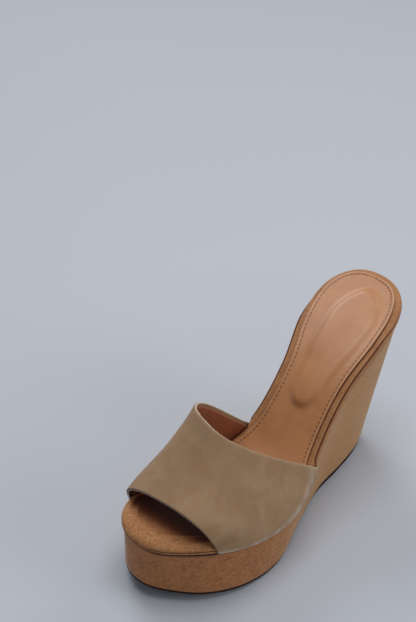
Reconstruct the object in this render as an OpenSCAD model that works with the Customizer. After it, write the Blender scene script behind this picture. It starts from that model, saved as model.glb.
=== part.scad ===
// Platform wedge mule for the left foot, one shoe of a pair.
// Toe towards -Y, heel towards +Y, outer side of the foot towards +X, sole on Z = 0.
// Three curves drive the shape: the footbed line seen from the side, the
// outline of the footbed and the outline of the sole. Places in the shoe are
// given as a station along the footbed and a height square to it.

/* [Footbed] */
// Length of the footbed along its own curve
bed_length = 250; // [240:1:262]
// Height of the seam under the insole at the toe tip
toe_height = 43; // [40:0.5:48]
// Lift of the sole's toe tip above the ground
toe_spring = 10; // [6:0.5:12]

/* [Sole] */
// Thickness of the outsole
outsole_thick = 2; // [1.5:0.1:3]
// Thickness of the heel top piece
lift_thick = 4.5; // [3.5:0.1:6]
// Distance from the middle of the shoe to the front of the heel top piece
lift_front = 42; // [36:1:50]
// Thickness of the fabric around platform and wedge
cover_thick = 1; // [0.6:0.1:1.4]

/* [Insole] */
// Thickness of the insole board
board_thick = 2; // [1.6:0.1:2.4]
// Thickness of the foam layer
foam_thick = 2.5; // [2:0.1:3]
// Thickness of the insole's textile wrap
wrap_thick = 0.9; // [0.6:0.1:1.1]
// Thickness of the leather sock
sock_thick = 0.9; // [0.7:0.1:1.2]
// Distance from the insole's edge to the edge of the sock
sock_inset = 4.1; // [3.5:0.1:6]
// Height of the heel cushion
cushion_height = 2.4; // [1.5:0.1:3.5]

/* [Vamp] */
// Station of the vamp's front corners, as a share of the footbed
vamp_front = 0.10; // [0.08:0.01:0.13]
// Station of the vamp's rear corners
vamp_rear = 0.465; // [0.44:0.005:0.48]
// Rise of the toe opening above its corners
mouth_rise = 27; // [22:1:32]
// Rise of the throat above its corners
throat_rise = 47; // [42:1:52]
// How far the throat line lies ahead of its corners
throat_bow = 53; // [46:1:58]
// Thickness of the suede
suede_thick = 1; // [0.8:0.1:1.3]
// Thickness of the interlining
interlining_thick = 0.4; // [0.3:0.05:0.5]
// Thickness of the vamp's leather lining
lining_thick = 0.8; // [0.6:0.1:1]

/* [Hidden] */
$fn = 32;

// Slope of the footbed in degrees, at eighths of its length from the toe.
bed_slope = [7, -12, -4, 21, 43.5, 39, 26, 18.5, 21];
// Distances from the shoe's middle line, toe to heel at steps of 18 degrees
// round the outline: footbed outer and inner side, sole outer and inner side.
bed_outer = [-9.5, 8.5, 26.5, 38, 42, 35.5, 34, 36, 33, 23, 3.5];
bed_inner = [-9.5, -28.5, -37.5, -38.5, -29, -14, -12.5, -20.5, -22, -13, 3.5];
sole_outer = [-11, 4, 22.5, 35.5, 39.5, 31.5, 24, 23, 21, 15.5, 1];
sole_inner = [-11, -26.5, -38.5, -43, -39.5, -32.5, -27, -25, -22.5, -14.5, 1];
toe_y = -112;
sole_front_y = -112.5;
sole_back_y = 94.5;
// The toe spring starts here and grows with the square of the distance.
spring_start_y = -30;
spring_reach = 82.5;
// Length over which the outsole thickens ahead of the heel top piece.
ramp_length = 12;

// Outline sampling: steps round each side, kept off the very tips.
side_steps = 30;
tip_angle = 2;
bed_step = 5;

// Heights square to the footbed, from the seam under the insole.
core_top = -2;
filler_top = core_top + 1.3;
flange_top = core_top + cover_thick;
skived = 0.6;
wrap_base = flange_top + 2 * skived;
board_base = wrap_base + 0.7;
board_top = board_base + board_thick;
heel_board_thick = 1.2;
// Outline step where the forepart foam ends and the heel board begins.
board_break = 15;
foam_top = board_top + foam_thick;
wrap_top = foam_top + wrap_thick;
sock_top = wrap_top + sock_thick;
margin = 9;
rim_bulge = 1.3;
vamp_out = 1.8;
// The vamp's inner rear corner stands this much further back.
inner_shift = 0.02;
gap = 0.1;

// Value of a smooth curve through evenly spaced values v, at x from 0 to 1.
function tangent(v, i) =
    let (n = len(v) - 1)
    i == 0 ? (4 * v[1] - 3 * v[0] - v[2]) / 2
    : i == n ? (3 * v[n] - 4 * v[n - 1] + v[n - 2]) / 2
    : (v[i + 1] - v[i - 1]) / 2;
function along(v, x) =
    let (n = len(v) - 1, i = min(floor(x * n), n - 1), f = x * n - i)
    v[i] * (1 + 2 * f) * (1 - f) * (1 - f) + tangent(v, i) * f * (1 - f) * (1 - f)
    + v[i + 1] * f * f * (3 - 2 * f) - tangent(v, i + 1) * f * f * (1 - f);

// The footbed line: a point every bed_step, found by adding up short steps.
bed_points = floor(bed_length / bed_step);
function slope_at(s) = along(bed_slope, min(max(s / bed_length, 0), 1));
bed_line = [for (i = 0, y = toe_y, z = toe_height; i <= bed_points;
    y = y + bed_step * cos(slope_at((i + 0.5) * bed_step)),
    z = z + bed_step * sin(slope_at((i + 0.5) * bed_step)),
    i = i + 1) [y, z]];

// Point in the Y-Z plane at station s and height h square to the footbed.
function bed_yz(s, h) =
    let (i = min(max(floor(s / bed_step), 0), bed_points - 1),
        f = s / bed_step - i,
        p = bed_line[i] + (bed_line[i + 1] - bed_line[i]) * f,
        a = slope_at(s))
    [p[0] - h * sin(a), p[1] + h * cos(a)];
function bed_point(x, s, h) = let (p = bed_yz(s, h)) [x, p[0], p[1]];

// Height of the sole's underside at y.
function ground(y) =
    toe_spring * pow(max(spring_start_y - y, 0) / spring_reach, 2);

// Share of the length at angle a round the outline.
function share(a) = (1 - cos(a)) / 2;
function angle_of(t) = acos(1 - 2 * t);

// Angle of step j round a side, and the share of the length it stands at.
function angle_at(j) = tip_angle + (180 - 2 * tip_angle) * j / side_steps;
function share_at(j) = share(angle_at(j));

// Outline loop: outer side toe to heel, then inner side heel to toe. Each
// point is [x, distance along].
function outline(outer, inner, start, length) = concat(
    [for (j = [0:side_steps])
        [along(outer, angle_at(j) / 180), start + length * share_at(j)]],
    [for (j = [side_steps:-1:0])
        [along(inner, angle_at(j) / 180), start + length * share_at(j)]]);

// The same loop moved outwards by d, which may be one value or one per point.
// Along the sides each point keeps its station, so stacked layers meet face
// to face; near the tips it moves square to the outline.
function grown(loop, d) =
    let (n = len(loop))
    [for (i = [0:n - 1])
        let (v = (loop[(i + 1) % n] - loop[(i + n - 1) % n]),
            u = v / norm(v),
            e = is_list(d) ? d[i] : d,
            keep = min(max((abs(u[1]) - 0.7) / 0.15, 0), 1),
            slide = keep > 0 ? keep * e * u[0] / u[1] : 0)
        loop[i] + [u[1], -u[0]] * e + u * slide];

function on_bed(loop, h) = [for (p = loop) bed_point(p[0], p[1], h)];
function on_ground(loop, h) = [for (p = loop) [p[0], p[1], ground(p[1]) + h]];

bed_loop = outline(bed_outer, bed_inner, 0, bed_length);
sole_loop = outline(sole_outer, sole_inner, sole_front_y, sole_back_y - sole_front_y);

// Solid between a stack of loops, closed at both ends by strips across. The
// side faces are split along one diagonal or, with crossed, the other.
module skin(loops, crossed = false) {
    n = len(loops[0]);
    last = (len(loops) - 1) * n;
    half = n / 2;
    sides = [for (k = [0:len(loops) - 2]) for (i = [0:n - 1])
        let (a = k * n + i, b = k * n + (i + 1) % n)
        each crossed ? [[a, b + n, b], [a, a + n, b + n]] : [[a, a + n, b], [b, a + n, b + n]]];
    first_cap = [for (i = [0:half - 2])
        each [[i, i + 1, n - 1 - i], [i + 1, n - 2 - i, n - 1 - i]]];
    last_cap = [for (i = [0:half - 2])
        each [[last + i, last + n - 1 - i, last + i + 1],
            [last + i + 1, last + n - 1 - i, last + n - 2 - i]]];
    polyhedron([for (l = loops) each l], concat(sides, first_cap, last_cap));
}

// Ring-shaped solid: the stack of loops closes on itself.
module ring(loops) {
    n = len(loops[0]);
    m = len(loops);
    polyhedron([for (l = loops) each l],
        [for (k = [0:m - 1]) for (i = [0:n - 1])
            let (a = k * n + i, b = k * n + (i + 1) % n,
                c = ((k + 1) % m) * n + i, d = ((k + 1) % m) * n + (i + 1) % n)
            each [[a, c, b], [b, c, d]]]);
}

// Sheet-like solid between two grids of points with equal rows and columns.
module sheet(upper, lower) {
    rows = len(upper);
    cols = len(upper[0]);
    size = rows * cols;
    top = [for (r = [0:rows - 2]) for (c = [0:cols - 2])
        let (a = r * cols + c)
        each [[a, a + 1, a + cols], [a + 1, a + cols + 1, a + cols]]];
    base = [for (f = top) [f[0] + size, f[2] + size, f[1] + size]];
    rim = concat([for (c = [0:cols - 1]) c],
        [for (r = [1:rows - 1]) r * cols + cols - 1],
        [for (c = [cols - 2:-1:0]) (rows - 1) * cols + c],
        [for (r = [rows - 2:-1:1]) r * cols]);
    edge = [for (i = [0:len(rim) - 1])
        let (a = rim[i], b = rim[(i + 1) % len(rim)])
        each [[a, a + size, b], [b, a + size, b + size]]];
    polyhedron(concat([for (l = upper) each l], [for (l = lower) each l]),
        concat(top, base, edge));
}

// Tube of radius r round a list of points, with sides flats.
module tube(path, r, sides) {
    n = len(path);
    rings = [for (i = [0:n - 1])
        let (d = path[min(i + 1, n - 1)] - path[max(i - 1, 0)],
            u = cross(d, [0, 0, 1]) / norm(cross(d, [0, 0, 1])),
            v = cross(u, d) / norm(d))
        [for (k = [0:sides - 1])
            path[i] + r * (u * cos(360 * k / sides) + v * sin(360 * k / sides))]];
    last = (n - 1) * sides;
    polyhedron([for (l = rings) each l], concat(
        [for (i = [0:n - 2]) for (k = [0:sides - 1])
            let (a = i * sides + k, b = i * sides + (k + 1) % sides)
            each [[a, b, a + sides], [b, b + sides, a + sides]]],
        [[for (k = [sides - 1:-1:0]) k]],
        [[for (k = [0:sides - 1]) last + k]]));
}

// Slab on the footbed between heights low and high, its edge moved out by d,
// from step first to step last.
module bed_slab(d, low, high, first = 0, last = side_steps) {
    inside = grown(bed_loop, d);
    n = len(inside);
    loop = [for (i = [0:n - 1]) let (j = min(i, n - 1 - i)) if (j >= first && j <= last) inside[i]];
    skin([on_bed(loop, low), on_bed(loop, high)]);
}

// Thickness of the sole at y: the outsole thickens to meet the top piece.
function sole_height(y) =
    outsole_thick + (lift_thick - outsole_thick)
    * min(max((y - lift_front) / ramp_length + 2, 0), 1);

// Side wall of platform and wedge: loop at share k of the way from the sole,
// or from up above it, to the seam.
function wall(inset, k, up = 0) =
    let (low = on_ground(grown(sole_loop, -inset), 0),
        high = on_bed(grown(bed_loop, -inset), flange_top))
    [for (i = [0:len(low) - 1])
        let (foot = (sole_height(low[i][1]) + up) / (high[i][2] - low[i][2]))
        low[i] + (high[i] - low[i]) * (foot + (1 - foot) * k)];

// Plan of the heel top piece, which lies behind the toe spring and is flat.
module lift_plan(inset) {
    intersection() {
        polygon(grown(sole_loop, -inset));
        translate([-100, lift_front + gap])
            square([200, 200]);
    }
}

// Five nails on an oval in the middle of the top piece.
nail_radius = 0.9;
nail_oval = [12, 15];
nail_oval_y = 70;
lift_nail_spots = [for (a = [0:72:359])
    [nail_oval[0] * sin(a), nail_oval_y + nail_oval[1] * cos(a)]];
module nails(r) {
    for (p = lift_nail_spots)
        translate([p[0], p[1], 1.5])
            cylinder(r = r, h = 15);
}

module outsole() {
    edge = grown(sole_loop, -0.8);
    color([0.16, 0.10, 0.07])
        intersection() {
            skin([on_ground(grown(sole_loop, -1.3), 0), on_ground(edge, 0.5),
                [for (p = edge) [p[0], p[1], ground(p[1]) + sole_height(p[1])]]]);
            translate([-100, lift_front - 200, -1])
                cube([200, 200, 30]);
        }
}

module heel_lift() {
    color([0.13, 0.08, 0.06])
        difference() {
            linear_extrude(lift_thick)
                lift_plan(0.8);
            nails(nail_radius);
        }
}

module lift_nails() {
    color([0.60, 0.58, 0.55])
        nails(nail_radius);
}

// The platform and wedge in one block, inside its fabric cover.
module wedge_core() {
    color([0.78, 0.66, 0.48])
        difference() {
            skin([wall(cover_thick, 0, cover_thick), wall(cover_thick, 0.5),
                on_bed(grown(bed_loop, -cover_thick), core_top)], true);
            nails(nail_radius);
            screws();
        }
}

// Fabric wall with its margins turned in over the block, top and bottom.
module wedge_cover() {
    color([0.74, 0.52, 0.34])
        ring([wall(margin, 0), wall(0, 0), wall(0, 0.33), wall(0, 0.67), wall(0, 1),
            on_bed(grown(bed_loop, -margin), flange_top),
            on_bed(grown(bed_loop, -margin), core_top),
            on_bed(grown(bed_loop, -cover_thick), core_top),
            wall(cover_thick, 0.5), wall(cover_thick, 0, cover_thick),
            wall(margin, 0, cover_thick)]);
}

// Cork filler inside the turned margins of cover and vamp.
filler_gap = 2;
filler_ends = 2;
module bottom_filler() {
    color([0.55, 0.42, 0.28])
        difference() {
            bed_slab(-margin - filler_gap, core_top, filler_top, filler_ends, side_steps - filler_ends);
            screws();
        }
}

// Steel strip under the arch, following the footbed.
shank_base = core_top + 1.4;
shank_top = board_base - gap;
shank_span = [110, 218];
shank_x = 11;
shank_half = 6;
shank_rows = 12;
module shank() {
    rows = [for (i = [0:shank_rows])
        shank_span[0] + (shank_span[1] - shank_span[0]) * i / shank_rows];
    function face(h) = [for (s = rows)
        [for (x = [shank_x + shank_half, shank_x - shank_half]) bed_point(x, s, h)]];
    color([0.62, 0.63, 0.65])
        difference() {
            sheet(face(shank_top), face(shank_base));
            rivets(rivet_radius);
            screws();
        }
}

// Fastener square to the footbed at station s.
module square_to_bed(x, s, h) {
    p = bed_yz(s, h);
    translate([x, p[0], p[1]])
        rotate([slope_at(s), 0, 0])
            children();
}

rivet_radius = 1.6;
rivet_stations = [118, 160];
module rivets(r) {
    for (s = rivet_stations)
        square_to_bed(shank_x, s, shank_base + gap)
            cylinder(r = r, h = board_top - shank_base - gap);
}
module shank_rivets() {
    color([0.72, 0.68, 0.55])
        rivets(rivet_radius);
}

// Long screws hold the wedge to the heel seat.
screw_radius = 1.5;
screw_head = [3, 1];
screw_spots = [[shank_x, 206, 26], [2, 222, 20], [20, 222, 20]];
module screws() {
    for (p = screw_spots)
        square_to_bed(p[0], p[1], board_top - p[2]) {
            cylinder(r = screw_radius, h = p[2]);
            translate([0, 0, p[2] - screw_head[1]])
                cylinder(r = screw_head[0], h = screw_head[1]);
        }
}
module wedge_screws() {
    color([0.55, 0.55, 0.57])
        screws();
}

module insole_board() {
    color([0.72, 0.62, 0.46])
        difference() {
            bed_slab(board_edge, board_base, board_top);
            rivets(rivet_radius);
            screws();
        }
}

module heel_board() {
    color([0.60, 0.47, 0.33])
        bed_slab(foam_edge, board_top, board_top + heel_board_thick,
            board_break, side_steps - 1);
}

module forepart_foam() {
    color([0.93, 0.89, 0.75])
        bed_slab(foam_edge, board_top, foam_top, 0, board_break - 1);
}

module heel_foam() {
    color([0.93, 0.89, 0.75])
        bed_slab(foam_edge, board_top + heel_board_thick, foam_top,
            board_break, side_steps - 1);
}

// Where the vamp clasps the insole its rim is drawn in. The offset of the rim
// at each point of the outline is free in the open and tucked under the vamp.
rim_run = 0.02;
function rim_edge(free, tucked) =
    [for (p = bed_loop)
        let (t = p[1] / bed_length,
            k = min(max(min(t - vamp_front, vamp_rear - t) / rim_run + 1, 0), 1))
        free + (tucked - free) * k];
function rim(free, tucked, h) = on_bed(grown(bed_loop, rim_edge(free, tucked)), h);
board_edge = rim_edge(-wrap_thick - 0.2, -3.4);
foam_edge = rim_edge(-4, -7.4);

// Textile wrap over foam and board, turned in underneath.
module insole_wrap() {
    color([0.76, 0.54, 0.36])
        skin([on_bed(grown(bed_loop, foam_edge), foam_top),
            on_bed(grown(bed_loop, board_edge), board_top),
            on_bed(grown(bed_loop, board_edge), board_base),
            on_bed(grown(bed_loop, -margin), board_base),
            on_bed(grown(bed_loop, -margin), wrap_base),
            rim(-0.4, -2.4, wrap_base),
            rim(rim_bulge, -2.2, wrap_base + 1.8),
            rim(rim_bulge, -3.2, foam_top - 1.6),
            rim(0.3, -4.4, foam_top - 0.2),
            rim(-1.6, -5.8, wrap_top - 0.2),
            rim(-3.6, -7.4, wrap_top)]);
}

// Heel cushion: a broad pad that narrows forwards to a round end on the inner
// side. Its two sides, toe to heel at steps of 30 degrees round the outline.
cushion_span = [140, 236];
cushion_outer = [7, 14, 19, 28, 28, 20, 9];
cushion_inner = [7, 0, -2, -4.5, -6, 0, 9];
cushion_ramp = 0.14;
cushion_rows = 18;
cushion_cols = 8;
// How much of the rise under the sock is foam.
cushion_fill = 0.9;
function cushion_share(s) = (s - cushion_span[0]) / (cushion_span[1] - cushion_span[0]);
function cushion_side(v, u) = along(v, angle_of(u) / 180);
// Height of the cushion at x and station s: a flat crown with rolled edges.
function cushion_rise(x, s) =
    let (u = cushion_share(s))
    u <= 0 || u >= 1 ? 0
    : let (p = cushion_side(cushion_outer, u), q = cushion_side(cushion_inner, u),
        r = abs(2 * x - p - q) / (p - q))
    r >= 1 ? 0 : cushion_height * pow(1 - pow(r, 3), 0.8) * min(min(u, 1 - u) / cushion_ramp, 1);

module heel_cushion() {
    // Points square across the pad, closer together towards its sides.
    spots = [for (i = [1:cushion_rows - 1])
        let (u = i / cushion_rows, s = cushion_span[0] + (cushion_span[1] - cushion_span[0]) * u,
            p = cushion_side(cushion_outer, u), q = cushion_side(cushion_inner, u))
        [for (k = [0:cushion_cols])
            [(p + q) / 2 + (p - q) / 2 * 0.99 * cos(180 * k / cushion_cols), s]]];
    function face(rise) = [for (row = spots) [for (c = row)
        bed_point(c[0], c[1], wrap_top + rise * cushion_rise(c[0], c[1]))]];
    color([0.90, 0.85, 0.70])
        sheet(face(cushion_fill), face(0));
}

// Leather sock over the rear of the footbed, raised over the cushion.
sock_front = 8;
sock_cols = 14;
module sock_lining() {
    inside = grown(bed_loop, -sock_inset);
    n = len(inside);
    function sock_grid(h) = [for (j = [sock_front:side_steps]) [for (k = [0:sock_cols])
        let (p = inside[j] + (inside[n - 1 - j] - inside[j]) * k / sock_cols)
        bed_point(p[0], p[1], h + cushion_rise(p[0], p[1]))]];
    color([0.80, 0.56, 0.38])
        sheet(sock_grid(sock_top), sock_grid(wrap_top));
}

// Thread line just inside the sock's edge, from the vamp round the heel.
thread_radius = 0.35;
thread_inset = 2.1;
module sock_stitching() {
    loop = grown(bed_loop, -sock_inset - thread_inset);
    path = [for (p = loop) if (p[1] > bed_length * 0.25)
        bed_point(p[0], p[1], sock_top + thread_radius)];
    color([0.50, 0.30, 0.18])
        tube(path, thread_radius, 6);
}

// Vamp. The mouth and throat are arches between corners on the seam: b runs
// from 0 on the outer side to 1 on the inner side.
function seam_point(t, side, out) =
    let (a = angle_of(t),
        v = side == 0 ? bed_outer : bed_inner,
        x0 = along(v, (a - 1) / 180), x1 = along(v, (a + 1) / 180),
        s0 = bed_length * share(a - 1), s1 = bed_length * share(a + 1),
        n = [s1 - s0, x0 - x1] / norm([s1 - s0, x0 - x1]) * (side == 0 ? out : -out))
    bed_point((x0 + x1) / 2 + n[0], bed_length * t + n[1], 0);

// Arch from p to q, b from 0 to 1: its rise, forward bow and sideways shift,
// how square its shoulders are, how far it leans to the outer side, and how
// much one half lies ahead of the other.
function arch(p, q, b, rise, bow, shift, square_power, lean, twist) =
    let (c = cos(180 * b), f = sin(180 * b),
        g = (1 - sign(c) * pow(abs(c), square_power)) / 2)
    p + (q - p) * g
    + [shift * f, -bow * pow(f, 0.8) + twist * sin(360 * b), rise * pow(f, 0.82) * (1 + lean * c)];
function mouth(b) =
    arch(seam_point(vamp_front, 0, vamp_out), seam_point(vamp_front, 1, vamp_out),
        b, mouth_rise, 9, -6, 0.76, 0.25, -1.3);
function throat(b) =
    arch(seam_point(vamp_rear, 0, vamp_out), seam_point(vamp_rear + inner_shift, 1, vamp_out),
        b, throat_rise, throat_bow, -26, 0.78, 0.07, -7.5);
// Point of the vamp's outer face, a from 0 at the mouth to 1 at the throat.
function vamp_at(a, b) =
    let (w0 = pow((1 + cos(180 * b)) / 2, 3), w1 = pow((1 - cos(180 * b)) / 2, 4),
        side0 = seam_point(vamp_front + (vamp_rear - vamp_front) * a, 0, vamp_out),
        side1 = seam_point(vamp_front + (vamp_rear + inner_shift - vamp_front) * a, 1, vamp_out))
    mouth(b) * (1 - a) + throat(b) * a
    + (side0 - mouth(0) * (1 - a) - throat(0) * a) * w0
    + (side1 - mouth(1) * (1 - a) - throat(1) * a) * w1;
function vamp_normal(a, b) =
    let (e = 0.01,
        u = vamp_at(min(a + e, 1), b) - vamp_at(max(a - e, 0), b),
        v = vamp_at(a, min(b + e, 1)) - vamp_at(a, max(b - e, 0)),
        n = cross(u, v))
    n / norm(n);
function vamp_layer(a, b, depth) = vamp_at(a, b) - vamp_normal(a, b) * depth;

// Rows of the vamp stand at the footbed's own steps between its corners.
inner_rows = [for (j = [0:side_steps])
    let (a = (share_at(j) - vamp_front) / (vamp_rear - vamp_front)) if (a > 0.05 && a < 0.95) a];
vamp_rows = concat([0], inner_rows, [1]);
vamp_cols = 26;
// Grid of one face of a vamp layer. With a height, its lasting margin is
// turned in under the insole at that height.
function vamp_grid(depth, height, reach, rows = vamp_rows) =
    [for (a = rows) concat(
        is_undef(height) ? [] : [for (d = [reach, reach / 2]) margin_point(a, 0, d, height)],
        [for (c = [0:vamp_cols]) let (b = c / vamp_cols) vamp_layer(a, b, depth)],
        is_undef(height) ? [] : [for (d = [reach / 2, reach]) margin_point(a, 1, d, height)])];
function margin_point(a, side, d, h) =
    let (t = vamp_front + (vamp_rear + inner_shift * side - vamp_front) * a,
        p = seam_point(t, side, -d),
        q = bed_yz(bed_length * t, h) - bed_yz(bed_length * t, 0))
    p + [0, q[0], q[1]];

module vamp_suede() {
    color([0.66, 0.54, 0.42])
        sheet(vamp_grid(0, flange_top, margin), vamp_grid(suede_thick, flange_top + skived, margin));
}

interlining_depth = suede_thick + interlining_thick;
module vamp_interlining() {
    color([0.88, 0.86, 0.80])
        sheet(vamp_grid(suede_thick, undef, 0, inner_rows),
            vamp_grid(interlining_depth, undef, 0, inner_rows));
}

module vamp_lining() {
    color([0.72, 0.45, 0.28])
        sheet(vamp_grid(interlining_depth, flange_top + skived, margin),
            vamp_grid(interlining_depth + lining_thick, wrap_base, margin));
}

// Reinforcing tapes along the mouth and the throat, on each side of the
// interlining.
module edge_tapes() {
    last = len(vamp_rows) - 1;
    color([0.92, 0.90, 0.86])
        for (rows = [[0, vamp_rows[1]], [vamp_rows[last - 1], 1]])
            sheet(vamp_grid(suede_thick, undef, 0, rows),
                vamp_grid(interlining_depth, undef, 0, rows));
}

// The origin is the middle of the shoe's box, on the ground.
widest = concat([for (r = vamp_grid(0)) each r], rim(rim_bulge, -2.2, wrap_base + 1.8),
    rim(rim_bulge, -3.2, foam_top - 1.6), wall(0, 0));
function middle(i) = (min([for (p = widest) p[i]]) + max([for (p = widest) p[i]])) / 2;
centre = [middle(0), middle(1)];

translate([-centre[0], -centre[1], 0]) {
    outsole();
    heel_lift();
    lift_nails();
    wedge_core();
    wedge_cover();
    bottom_filler();
    shank();
    shank_rivets();
    wedge_screws();
    insole_board();
    heel_board();
    forepart_foam();
    heel_foam();
    insole_wrap();
    heel_cushion();
    sock_lining();
    sock_stitching();
    vamp_suede();
    vamp_interlining();
    vamp_lining();
    edge_tapes();
}
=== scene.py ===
"""Wedge sandal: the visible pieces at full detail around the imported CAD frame.

Lengths below are millimetres until a mesh is made. A place in the shoe is a
station s along the footbed from the toe and a height h square to it, as in
the CAD part.
"""
import math

import bmesh
import bpy
import numpy as np
from mathutils import Matrix, Vector


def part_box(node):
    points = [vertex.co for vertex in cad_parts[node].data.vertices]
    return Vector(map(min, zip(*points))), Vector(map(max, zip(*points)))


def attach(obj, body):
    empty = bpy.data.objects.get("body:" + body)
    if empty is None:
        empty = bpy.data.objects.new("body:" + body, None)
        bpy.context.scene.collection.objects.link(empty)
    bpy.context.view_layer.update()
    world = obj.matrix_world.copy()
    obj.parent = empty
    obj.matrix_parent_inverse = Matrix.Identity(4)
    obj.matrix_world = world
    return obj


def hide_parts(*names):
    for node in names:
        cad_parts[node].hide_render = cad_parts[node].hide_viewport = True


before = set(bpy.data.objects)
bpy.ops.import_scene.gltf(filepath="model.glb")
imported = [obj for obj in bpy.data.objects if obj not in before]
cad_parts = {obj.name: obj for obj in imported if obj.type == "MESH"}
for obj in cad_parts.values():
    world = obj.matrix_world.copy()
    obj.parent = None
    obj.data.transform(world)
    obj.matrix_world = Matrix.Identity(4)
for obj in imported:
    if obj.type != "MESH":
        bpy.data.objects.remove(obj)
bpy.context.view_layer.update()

# ---------------------------------------------------------------- dimensions
# Tuples hold values at even steps from toe to heel: the footbed's slope in
# degrees, then where the edges of footbed and sole lie in x.
BED_LENGTH = 250.0
BED_SLOPE = (7, -12, -4, 21, 43.5, 39, 26, 18.5, 21)
BED_OUTER = (-9.5, 8.5, 26.5, 38, 42, 35.5, 34, 36, 33, 23, 3.5)
BED_INNER = (-9.5, -28.5, -37.5, -38.5, -29, -14, -12.5, -20.5, -22, -13, 3.5)
SOLE_OUTER = (-11, 4, 22.5, 35.5, 39.5, 31.5, 24, 23, 21, 15.5, 1)
SOLE_INNER = (-11, -26.5, -38.5, -43, -39.5, -32.5, -27, -25, -22.5, -14.5, 1)
TOE_Y, TOE_Z = -112.0, 43.0
SOLE_FRONT_Y, SOLE_BACK_Y = -112.5, 94.5
SPRING_START, SPRING_REACH, TOE_SPRING = -30.0, 82.5, 10.0
OUTSOLE, LIFT, LIFT_FRONT, RAMP = 2.0, 4.5, 42.0, 12.0
SEAM_LOW = -1.0        # top of the wedge cover in the forepart
SEAM_RISE = 2.7        # it stands this much higher behind the vamp
FOLD = 0.8             # height of the cover's rounded top and bottom folds
COVER_INSIDE = 1.3     # the cover's inner face lies this far in
COVER_TURN = 4.0       # depth of the cover's turned-in margins
COVER_FOOT = 0.9       # thickness of the lower one
RIM_PULL = 2.1         # the vamp presses the insole's rim in by this
WRAP_BOTTOM = 0.1      # the wrap's underside lies this high over the footbed
BED_TOP = 6.2          # the insole's flat top
TOE_BED_UP = 0.7       # stands this much higher at the toe
BED_START = 5.2        # and starts this far inside its outline
TOE_BED_START = 2.4    # and further at the toe
SOCK_TOP = 7.2
SOCK_THICK = 0.9
SOCK_INSET = 4.1
SOCK_DRAW = 1.2        # the sock's margin narrows by this towards the heel
SOCK_FRONT = 43.0
CHANNEL = 2.1          # the sewn channel lies this far inside the sock's edge
STITCH_INSET = SOCK_INSET + CHANNEL
STITCH_PITCH = 2.9
STITCH_HALF = 0.46     # half a stitch's length, in pitches
STITCH_RADIUS = 0.24
STITCH_SUNK = 0.42     # a stitch's ends lie this far below the sock's top
STITCH_BOW = 0.36      # and its middle this much higher than its ends
VAMP_FRONT, VAMP_REAR, INNER_SHIFT = 0.10, 0.465, 0.02
VAMP_OUT = 1.8
MOUTH_RISE, THROAT_RISE, THROAT_BOW = 27.0, 47.0, 53.0
TURNED_EDGE = 1.75     # thickness of the suede where it is turned
TURNED_MARGIN = 4.5
LINING_FACES = (1.78, 2.5)  # depth of the lining's two faces below the suede's
LINING_SHORT = 2.0     # the lining ends this far inside mouth and throat
SIDE_STEPS = 260       # points along each side of a loop
TIP_ANGLE = 0.6        # degrees kept free at both ends of a loop


# ------------------------------------------------------------ shape formulas
def sind(a):
    """Sine of an angle in degrees."""
    return np.sin(np.radians(a))


def cosd(a):
    """Cosine of an angle in degrees."""
    return np.cos(np.radians(a))


def smooth(x, low, high):
    """0 below low, 1 above high, smooth between."""
    t = np.clip((np.asarray(x, float) - low) / (high - low), 0, 1)
    return t * t * (3 - 2 * t)


def along(values, x):
    """Smooth curve through evenly spaced values, x from 0 to 1."""
    v = np.asarray(values, float)
    n = len(v) - 1
    m = np.empty(n + 1)
    m[1:n] = (v[2:] - v[:-2]) / 2
    m[0] = (4 * v[1] - 3 * v[0] - v[2]) / 2
    m[n] = (3 * v[n] - 4 * v[n - 1] + v[n - 2]) / 2
    x = np.asarray(x, float) * n
    i = np.clip(np.floor(x).astype(int), 0, n - 1)
    f = x - i
    return (v[i] * (1 + 2 * f) * (1 - f) ** 2 + m[i] * f * (1 - f) ** 2
            + v[i + 1] * f * f * (3 - 2 * f) - m[i + 1] * f * f * (1 - f))


def curve(points, count):
    """Smooth open curve through points, resampled evenly by its length."""
    p = np.asarray(points, float)
    t = np.linspace(0, 1, 40 * len(p))
    q = np.stack([along(p[:, k], t) for k in range(p.shape[1])], 1)
    d = np.r_[0, np.cumsum(np.linalg.norm(np.diff(q, axis=0), axis=1))]
    return np.stack([np.interp(np.linspace(0, d[-1], count), d, q[:, k])
                     for k in range(p.shape[1])], 1)


# The footbed's middle line as a table, one entry every FINE mm.
FINE = 0.5
_mid = np.arange(0, BED_LENGTH, FINE) + FINE / 2
_mid_slope = along(BED_SLOPE, _mid / BED_LENGTH)
LINE_S = np.arange(0, BED_LENGTH + FINE / 2, FINE)
LINE_Y = TOE_Y + np.r_[0, np.cumsum(FINE * cosd(_mid_slope))]
LINE_Z = TOE_Z + np.r_[0, np.cumsum(FINE * sind(_mid_slope))]


def bed_point(x, s, h):
    """Point at x, station s and height h above the footbed, ends run on straight."""
    x, s, h = np.broadcast_arrays(np.asarray(x, float), s, h)
    a = along(BED_SLOPE, np.clip(s / BED_LENGTH, 0, 1))
    base = np.clip(s, 0, BED_LENGTH)
    over = s - base
    y = np.interp(base, LINE_S, LINE_Y) + over * cosd(a)
    z = np.interp(base, LINE_S, LINE_Z) + over * sind(a)
    return np.stack([x, y - h * sind(a), z + h * cosd(a)], -1)


def ground(y):
    """Height of the outsole's underside, lifted at the toe."""
    return TOE_SPRING * (np.maximum(SPRING_START - y, 0) / SPRING_REACH) ** 2


def sole_height(y):
    """Thickness from the outsole, thicker where the heel top piece is."""
    return OUTSOLE + (LIFT - OUTSOLE) * np.clip((y - LIFT_FRONT) / RAMP + 2, 0, 1)


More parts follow.
